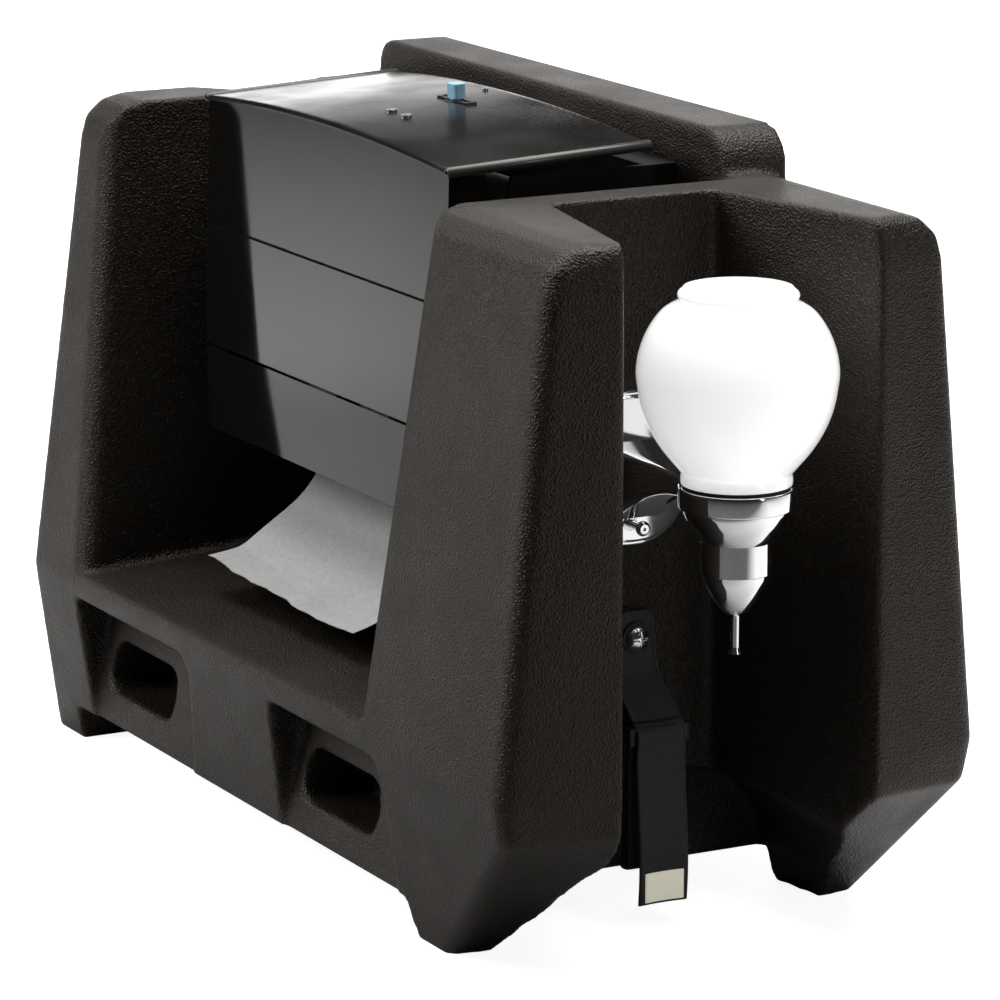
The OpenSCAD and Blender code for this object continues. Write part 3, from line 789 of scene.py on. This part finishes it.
def soap_arm():
    """Flared arm from the wall plate to the ring, pinched in between."""
    ring_centre = middle("valve_body")
    ring_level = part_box("globe_gasket")[0].z - 6.5 * MM
    start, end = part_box("soap_bracket")[0].x, ring_centre.x - 30.6 * MM
    steps, drop_at_plate, corner = 26, 12.5 * MM, 0.22
    loops = []
    for k in range(steps + 1):
        t = k / steps
        fade = (1 - t) ** 2.1
        x = start + (end - start) * t
        z = ring_level - drop_at_plate * fade
        wide = (26 + 20 * fade + 8 * t * t) * MM
        tall = (12 + 34 * fade) * MM
        loops.append(rounded_loop(x, z, wide, tall, min(wide, tall) * corner, ring_centre.y))
    fit(set_sharp(rings("soap_arm", loops), 60), "station", "chrome", "soap_bracket")


# ---------------------------------------------------------------- strap

def ribbon(name, path, width_at, thickness, ribs=True, curl=0.0):
    """A band of cloth along a path of (x, z), with rounded edges and cross ribs; curl bulges its middle."""
    across, squareness = 18, 14
    loops = []
    travelled = 0.0
    for j, point in enumerate(path):
        if j:
            travelled += (path[j] - path[j - 1]).length
        ahead = path[min(j + 1, len(path) - 1)] - path[max(j - 1, 0)]
        normal = Vector((ahead[1], -ahead[0])).normalized()
        rib = RIB_DEPTH * (0.5 + 0.5 * cos(2 * pi * travelled / RIB_PITCH)) if ribs else 0.0
        width = width_at(j / (len(path) - 1))
        face, back = [], []
        for i in range(across + 1):
            u = 2 * i / across - 1
            half = (thickness / 2 - rib) * sqrt(max(0.0, 1 - abs(u) ** squareness))
            bow = curl * (1 - u * u)
            a = point + normal * (bow + half)
            b = point + normal * (bow - half)
            y = u * width / 2
            face.append((a[0], y, a[1]))
            back.append((b[0], y, b[1]))
        loops.append(face + back[::-1][1:-1])
    return rings(name, loops)


def even_steps(points, step):
    """A smooth curve through points, cut at even steps."""
    smooth = curve(points, 12)
    out = [smooth[0]]
    gap = 0.0
    for a, b in zip(smooth, smooth[1:]):
        length = (b - a).length
        while gap + length >= step:
            a = a + (b - a).normalized() * (step - gap)
            out.append(a.copy())
            length = (b - a).length
            gap = 0.0
        gap += length
    return [*out, smooth[-1]]


def strap_tab():
    """Doubled end of the strap: flat under its screw, then out and down to the bar."""
    low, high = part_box("strap_tab")
    full = high.y - low.y
    drop_and_out = ((0, 2.6), (16, 2.7), (30, 2.8), (41, 6.8), (50, 16.5))
    path = even_steps([*((low.x + out * MM, high.z - drop * MM) for drop, out in drop_and_out),
                       (low.x + 28.5 * MM, low.z + 2.2 * MM)], TAB_STEP)

    def width(t):
        """Narrow at the screw, with a rounded end, and full width three quarters of the way down."""
        end = min(1.0, (t + 0.004) / 0.10)
        rounded_end = 0.45 + 0.55 * sqrt(end * (2 - end))
        return full * (0.74 + 0.26 * min(1.0, t / 0.75)) * rounded_end

    fit(ribbon("strap_tab_cloth", path, width, 3 * MM), "strap", "nylon", "strap_tab")


def strap_webbing():
    """Front length of webbing: over the bar, down, and out to its free end."""
    low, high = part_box("strap_webbing")
    bar_low, bar_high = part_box("strap_bar")
    over_bar = [(bar_low.x + 1.2 * MM, bar_high.z + 1.2 * MM), (bar_high.x - 3 * MM, bar_high.z + 1.3 * MM),
                (bar_high.x + 1 * MM, bar_high.z - 2.2 * MM), (bar_high.x + 1.4 * MM, bar_low.z + 1 * MM),
                (bar_high.x + 0.4 * MM, bar_low.z - 10 * MM)]
    down = [(low.x + 7.8 * MM, high.z - 50 * MM), (high.x - 1.8 * MM, low.z + 12 * MM),
            (high.x - 1.4 * MM, low.z - 6 * MM), (high.x - 2.6 * MM, low.z - 24 * MM)]
    wide = high.y - low.y
    path = even_steps(over_bar + down, WEB_STEP)
    web = ribbon("strap_webbing_cloth", path, lambda t: wide, 2 * MM, curl=1.2 * MM)
    fit(web, "strap", "nylon", "strap_webbing")


def strap_return():
    """Return loop of webbing that hangs behind the front length."""
    low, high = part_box("strap_return")
    thickness = 2 * MM
    wide = 0.985 * (high.y - low.y)
    radius = (high.x - low.x - thickness) / 2
    bend = arc(((low.x + high.x) / 2, low.z + radius + thickness / 2), radius, 180, 360, 10)
    path = even_steps([(low.x + 7 * MM, high.z), (low.x + 3 * MM, high.z - 30 * MM), *bend,
                       (high.x - 2.2 * MM, high.z - 30 * MM), (high.x - 1 * MM, high.z)], WEB_STEP)
    fit(ribbon("strap_return_cloth", path, lambda t: wide, thickness), "strap", "nylon", "strap_return")


def strap_label():
    """Blank cream patch sewn to the strap's end."""
    low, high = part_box("strap_label")
    x = low.x + 1 * MM
    wide = 0.84 * (high.y - low.y)
    path = curve([(x, high.z - 4 * MM), (x, (low.z + high.z) / 2), (x, low.z + 2 * MM)], 12)
    patch = ribbon("label_patch", path, lambda t: wide, 1 * MM, ribs=False, curl=1.1 * MM)
    fit(patch, "strap", "label_cloth", "strap_label")


def strap_screw_head():
    """Domed screw head with a cross recess, standing on its washer."""
    low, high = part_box("strap_screw")
    axis = middle("strap_screw")
    seat_x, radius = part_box("strap_washer")[1].x, (high.z - low.z) / 2
    shank, rim, centre_line = 2.45 * MM, 0.8 * MM, 0.01 * MM
    recess_depth, slot_half_width, slot_reach, recess_start = 1.9 * MM, 0.9 * MM, 4.6 * MM, 3.2 * MM
    profile = [(low.x, centre_line), (low.x, shank), (seat_x, shank), (seat_x, radius - 0.3 * MM)]
    dome = high.x - seat_x - rim
    profile += [(seat_x + rim + dome * sin(radians(a)), max(radius * cos(radians(a)), centre_line))
                for a in range(0, 91, 6)]
    loops = []
    for x, r in profile:
        loop = []
        for c, s in circle(96):
            narrow, far = sorted((abs(c) * r, abs(s) * r))
            in_cross = x > seat_x + recess_start and narrow < slot_half_width and far < slot_reach
            loop.append((x - (recess_depth if in_cross else 0.0), axis.y + r * c, axis.z + r * s))
        loops.append(loop)
    fit(set_sharp(rings("strap_screw_head", loops), 35), "station", "chrome", "strap_screw")


# ---------------------------------------------------------------- stage

def backdrop():
    """Plain pale floor. It lights the object less from the shaded side, as a dark room there would."""
    half, level = FLOOR_HALF_SIZE, cad_bounds[0].z
    corners = [(-half, -half, level), (half, -half, level), (half, half, level), (-half, half, level)]
    floor = add_object("floor", corners, [(0, 1, 2, 3)], smooth=False)
    s = Shader("floor", (0.72, 0.72, 0.715), 0.65)
    s.vary_roughness(s.noise(3, 2), 0.6, 0.7)
    # The floor darkens on the shaded side; towards the towel side it darkens, and is bright again far out.
    shade = s.mapped(s.reach(SHADED_SIDE), 1.0, 0.12, 0.0, 0.55)
    near = s.mapped(s.reach(TOWEL_SIDE), 0.80, 0.50, -0.3, 0.25)
    far = s.mapped(s.reach(TOWEL_SIDE), 0.0, 0.45, 1.2, 1.8)
    s.vary_color(s.combine("MULTIPLY", shade, s.combine("ADD", near, far)), (0, 0, 0), (1, 1, 1), 0.0, 1.0)
    s.set("Emission Color", (1, 1, 1, 1))
    seen = s.node("ShaderNodeLightPath").outputs["Is Camera Ray"]
    s.link(s.mapped(seen, 0.0, FLOOR_GLOW), s.surface.inputs["Emission Strength"])
    floor.data.materials.append(s.material)


def world():
    """White surroundings: bright to the camera and faint as light."""
    made = bpy.data.worlds.new("studio")
    bpy.context.scene.world = made
    made.use_nodes = True
    tree = made.node_tree
    background = tree.nodes["Background"]
    path = tree.nodes.new("ShaderNodeLightPath")
    level = tree.nodes.new("ShaderNodeMapRange")
    level.inputs["To Min"].default_value = BACKGROUND_LIGHT
    level.inputs["To Max"].default_value = BACKGROUND_SEEN
    tree.links.new(path.outputs["Is Camera Ray"], level.inputs["Value"])
    tree.links.new(level.outputs["Result"], background.inputs["Strength"])
    background.inputs["Color"].default_value = (1, 1, 1, 1)


def area_light(name, place, aim, size, power):
    data = bpy.data.lights.new(name, "AREA")
    data.shape = "RECTANGLE"
    data.size, data.size_y = size
    data.energy = power
    obj = into_scene(name, data)
    obj.location = place
    obj.rotation_euler = (Vector(aim) - Vector(place)).to_track_quat("-Z", "Y").to_euler()


def camera():
    """Looks at VIEW_AIM from VIEW_DISTANCE; azimuth 0 looks along +Y."""
    azimuth, elevation = radians(VIEW_AZIMUTH), radians(VIEW_ELEVATION)
    back = Vector((sin(azimuth) * cos(elevation), -cos(azimuth) * cos(elevation), sin(elevation)))
    data = bpy.data.cameras.new("camera")
    data.lens = LENS
    obj = into_scene("camera", data)
    obj.location = Vector(VIEW_AIM) + back * VIEW_DISTANCE
    obj.rotation_euler = (-back).to_track_quat("-Z", "Y").to_euler()
    bpy.context.scene.camera = obj


# ---------------------------------------------------------------- everything together

for node_name, node in NODES.items():
    dress(node, SLOT_OF[node_name], "seal_rubber" if node_name == "strap_washer" else None)
    if node_name not in ("body_shell", "valve_spring"):
        soften(node, EDGE_WIDTH.get(node_name, DEFAULT_EDGE) * MM)

body_skin()
cover_lid()
lid_beads()
towel_sheet()
towel_roll()
soap_globe()
soap_valve()
valve_coils()
soap_ring()
soap_arm()
strap_tab()
strap_webbing()
strap_return()
strap_label()
strap_screw_head()
backdrop()
world()
for light, settings in LIGHTS.items():
    area_light(light, *settings)
camera()
bpy.context.scene.view_settings.view_transform = "Standard"
